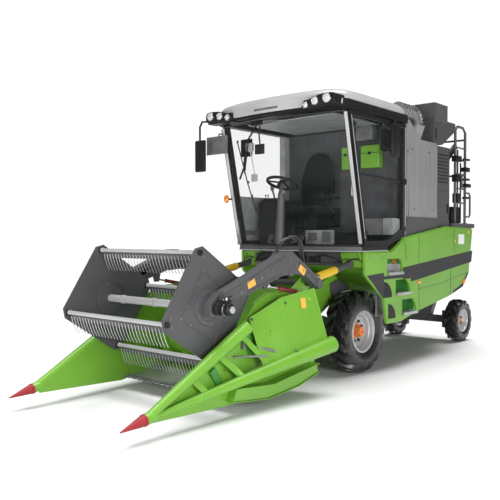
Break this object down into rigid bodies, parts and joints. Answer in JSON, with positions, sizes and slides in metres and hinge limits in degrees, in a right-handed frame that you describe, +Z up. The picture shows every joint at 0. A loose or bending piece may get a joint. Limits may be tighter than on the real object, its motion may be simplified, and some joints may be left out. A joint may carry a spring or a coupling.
{
  "type": "plot combine harvester",
  "caption": "Compact cab combine harvester: cutting header with reel, feeder house, glazed cab, green body on large front and small steered rear wheels.",
  "frame": {"origin": "on the floor under the middle of the whole machine, halfway between the divider tips and the backs of the rear wheels", "axes": "+Z up, -Y the way it drives and the header's end, +X its left-hand side, where the door and the steps are"},
  "size_m": [2.1634, 6.885, 3.335],
  "materials": {
    "green_paint": "gloss paint",
    "dark_paint": "satin paint",
    "light_paint": "satin paint",
    "white_paint": "gloss moulding",
    "black_plastic": "grained moulding",
    "tyre_rubber": "rubber",
    "rim_paint": "silver paint",
    "cab_glass": "clear",
    "bright_steel": "bare",
    "seat_fabric": "woven",
    "red_paint": "gloss paint"
  },
  "bodies": {
    "chassis": {"chassis_frame": "dark_paint", "front_axle": "dark_paint", "rear_axle": "dark_paint", "engine": "dark_paint", "thresher_housing": "green_paint", "side_panel_left": "green_paint", "side_panel_right": "green_paint", "entry_steps": "bright_steel", "cab_floor": "dark_paint", "cab_frame": "black_plastic", "right_window": "cab_glass", "windscreen": "cab_glass", "cab_roof": "white_paint", "lamp_bar": "black_plastic", "mirror_right": "black_plastic", "seat_base": "black_plastic", "seat_cushion": "seat_fabric", "seat_back": "seat_fabric", "steering_column": "dark_paint", "steering_wheel": "black_plastic", "side_cover_left": "light_paint", "side_cover_right": "light_paint", "grain_hopper": "dark_paint", "sample_cabinet": "dark_paint", "air_duct": "light_paint", "rear_platform": "dark_paint"},
    "cab_door": {"door_frame": "black_plastic", "door_glass": "cab_glass", "mirror_left": "black_plastic"},
    "front_wheel_left": {"front_tyre_left": "tyre_rubber", "front_rim_left": "rim_paint"},
    "front_wheel_right": {"front_tyre_right": "tyre_rubber", "front_rim_right": "rim_paint"},
    "steer_knuckle_left": {"knuckle_left": "dark_paint"},
    "steer_knuckle_right": {"knuckle_right": "dark_paint"},
    "rear_wheel_left": {"rear_tyre_left": "tyre_rubber", "rear_rim_left": "rim_paint"},
    "rear_wheel_right": {"rear_tyre_right": "tyre_rubber", "rear_rim_right": "rim_paint"},
    "header": {"feeder_house": "green_paint", "header_trough": "green_paint", "cutter_bar": "bright_steel", "divider_left": "green_paint", "divider_right": "green_paint", "divider_tip_left": "red_paint", "divider_tip_right": "red_paint"},
    "lift_cylinder_barrels": {"lift_barrels": "dark_paint"},
    "lift_cylinder_rods": {"lift_rod_left": "bright_steel", "lift_rod_right": "bright_steel"},
    "feed_auger": {"auger": "green_paint"},
    "reel_carrier": {"reel_arms": "dark_paint"},
    "reel_cylinder_barrels": {"reel_barrel_left": "red_paint", "reel_barrel_right": "red_paint"},
    "reel_cylinder_rods": {"reel_rod_left": "bright_steel", "reel_rod_right": "bright_steel"},
    "reel": {"reel_frame": "dark_paint"},
    "reel_bar_1": {"tine_bar_1": "bright_steel"},
    "reel_bar_2": {"tine_bar_2": "bright_steel"},
    "reel_bar_3": {"tine_bar_3": "bright_steel"},
    "reel_bar_4": {"tine_bar_4": "bright_steel"}
  },
  "joints": [
    {"name": "header_lift", "type": "hinge", "parent": "chassis", "child": "header", "pos_m": [0, 0.0675, 0.98], "axis": [-1, 0, 0], "range_deg": [-1.5, 22]},
    {"name": "reel_lift", "type": "hinge", "parent": "header", "child": "reel_carrier", "pos_m": [0, -0.9625, 1.1], "axis": [-1, 0, 0], "range_deg": [-4, 22]},
    {"name": "reel_spin", "type": "hinge", "parent": "reel_carrier", "child": "reel", "pos_m": [0, -2.4125, 0.968], "axis": [1, 0, 0], "continuous": true},
    {"name": "auger_spin", "type": "hinge", "parent": "header", "child": "feed_auger", "pos_m": [0, -1.5725, 0.47], "axis": [1, 0, 0], "continuous": true},
    {"name": "front_wheel_left_spin", "type": "hinge", "parent": "chassis", "child": "front_wheel_left", "pos_m": [0.575, 0.1475, 0.47947], "axis": [1, 0, 0], "continuous": true},
    {"name": "front_wheel_right_spin", "type": "hinge", "parent": "chassis", "child": "front_wheel_right", "pos_m": [-0.575, 0.1475, 0.47947], "axis": [1, 0, 0], "continuous": true},
    {"name": "steer_left", "type": "hinge", "parent": "chassis", "child": "steer_knuckle_left", "pos_m": [0.375, 3.1275, 0.31501], "axis": [0, 0, 1], "range_deg": [-35, 35]},
    {"name": "steer_right", "type": "hinge", "parent": "chassis", "child": "steer_knuckle_right", "pos_m": [-0.375, 3.1275, 0.31501], "axis": [0, 0, 1], "range_deg": [-35, 35]},
    {"name": "rear_wheel_left_spin", "type": "hinge", "parent": "steer_knuckle_left", "child": "rear_wheel_left", "pos_m": [0.53, 3.1275, 0.31501], "axis": [1, 0, 0], "continuous": true},
    {"name": "rear_wheel_right_spin", "type": "hinge", "parent": "steer_knuckle_right", "child": "rear_wheel_right", "pos_m": [-0.53, 3.1275, 0.31501], "axis": [1, 0, 0], "continuous": true},
    {"name": "cab_door_hinge", "type": "hinge", "parent": "chassis", "child": "cab_door", "pos_m": [0.92, -0.2025, 1.47], "axis": [0, 0.2141, -0.9768], "range_deg": [0, 80]},
    {"name": "lift_barrel_hinge", "type": "hinge", "parent": "chassis", "child": "lift_cylinder_barrels", "pos_m": [0, -0.2075, 1.27], "axis": [-1, 0, 0], "range_deg": [-3, 34]},
    {"name": "lift_rod_slide", "type": "slide", "parent": "lift_cylinder_barrels", "child": "lift_cylinder_rods", "axis": [0, -0.9831, -0.1829], "range_m": [-0.11, 0.01]},
    {"name": "reel_barrel_hinge", "type": "hinge", "parent": "header", "child": "reel_cylinder_barrels", "pos_m": [0, -1.3125, 1.045], "axis": [-1, 0, 0], "range_deg": [-8, 38]},
    {"name": "reel_rod_slide", "type": "slide", "parent": "reel_cylinder_barrels", "child": "reel_cylinder_rods", "axis": [0, -0.9837, 0.1799], "range_m": [-0.016, 0.08]},
    {"name": "reel_bar_1_pivot", "type": "hinge", "parent": "reel", "child": "reel_bar_1", "pos_m": [0, -2.51459, 1.44827], "axis": [1, 0, 0], "continuous": true},
    {"name": "reel_bar_2_pivot", "type": "hinge", "parent": "reel", "child": "reel_bar_2", "pos_m": [0, -2.89277, 0.86591], "axis": [1, 0, 0], "continuous": true},
    {"name": "reel_bar_3_pivot", "type": "hinge", "parent": "reel", "child": "reel_bar_3", "pos_m": [0, -2.31042, 0.48773], "axis": [1, 0, 0], "continuous": true},
    {"name": "reel_bar_4_pivot", "type": "hinge", "parent": "reel", "child": "reel_bar_4", "pos_m": [0, -1.93223, 1.07008], "axis": [1, 0, 0], "continuous": true}
  ],
  "couplings": [
    {"joint": "steer_right", "follows": "steer_left", "ratio": 1},
    {"joint": "lift_barrel_hinge", "follows": "header_lift", "ratio": 1.46},
    {"joint": "lift_rod_slide", "follows": "header_lift", "m_per_rad": -0.275},
    {"joint": "reel_barrel_hinge", "follows": "reel_lift", "ratio": 1.65},
    {"joint": "reel_rod_slide", "follows": "reel_lift", "m_per_rad": 0.2},
    {"joint": "reel_bar_1_pivot", "follows": "reel_spin", "ratio": -1},
    {"joint": "reel_bar_2_pivot", "follows": "reel_spin", "ratio": -1},
    {"joint": "reel_bar_3_pivot", "follows": "reel_spin", "ratio": -1},
    {"joint": "reel_bar_4_pivot", "follows": "reel_spin", "ratio": -1}
  ]
}
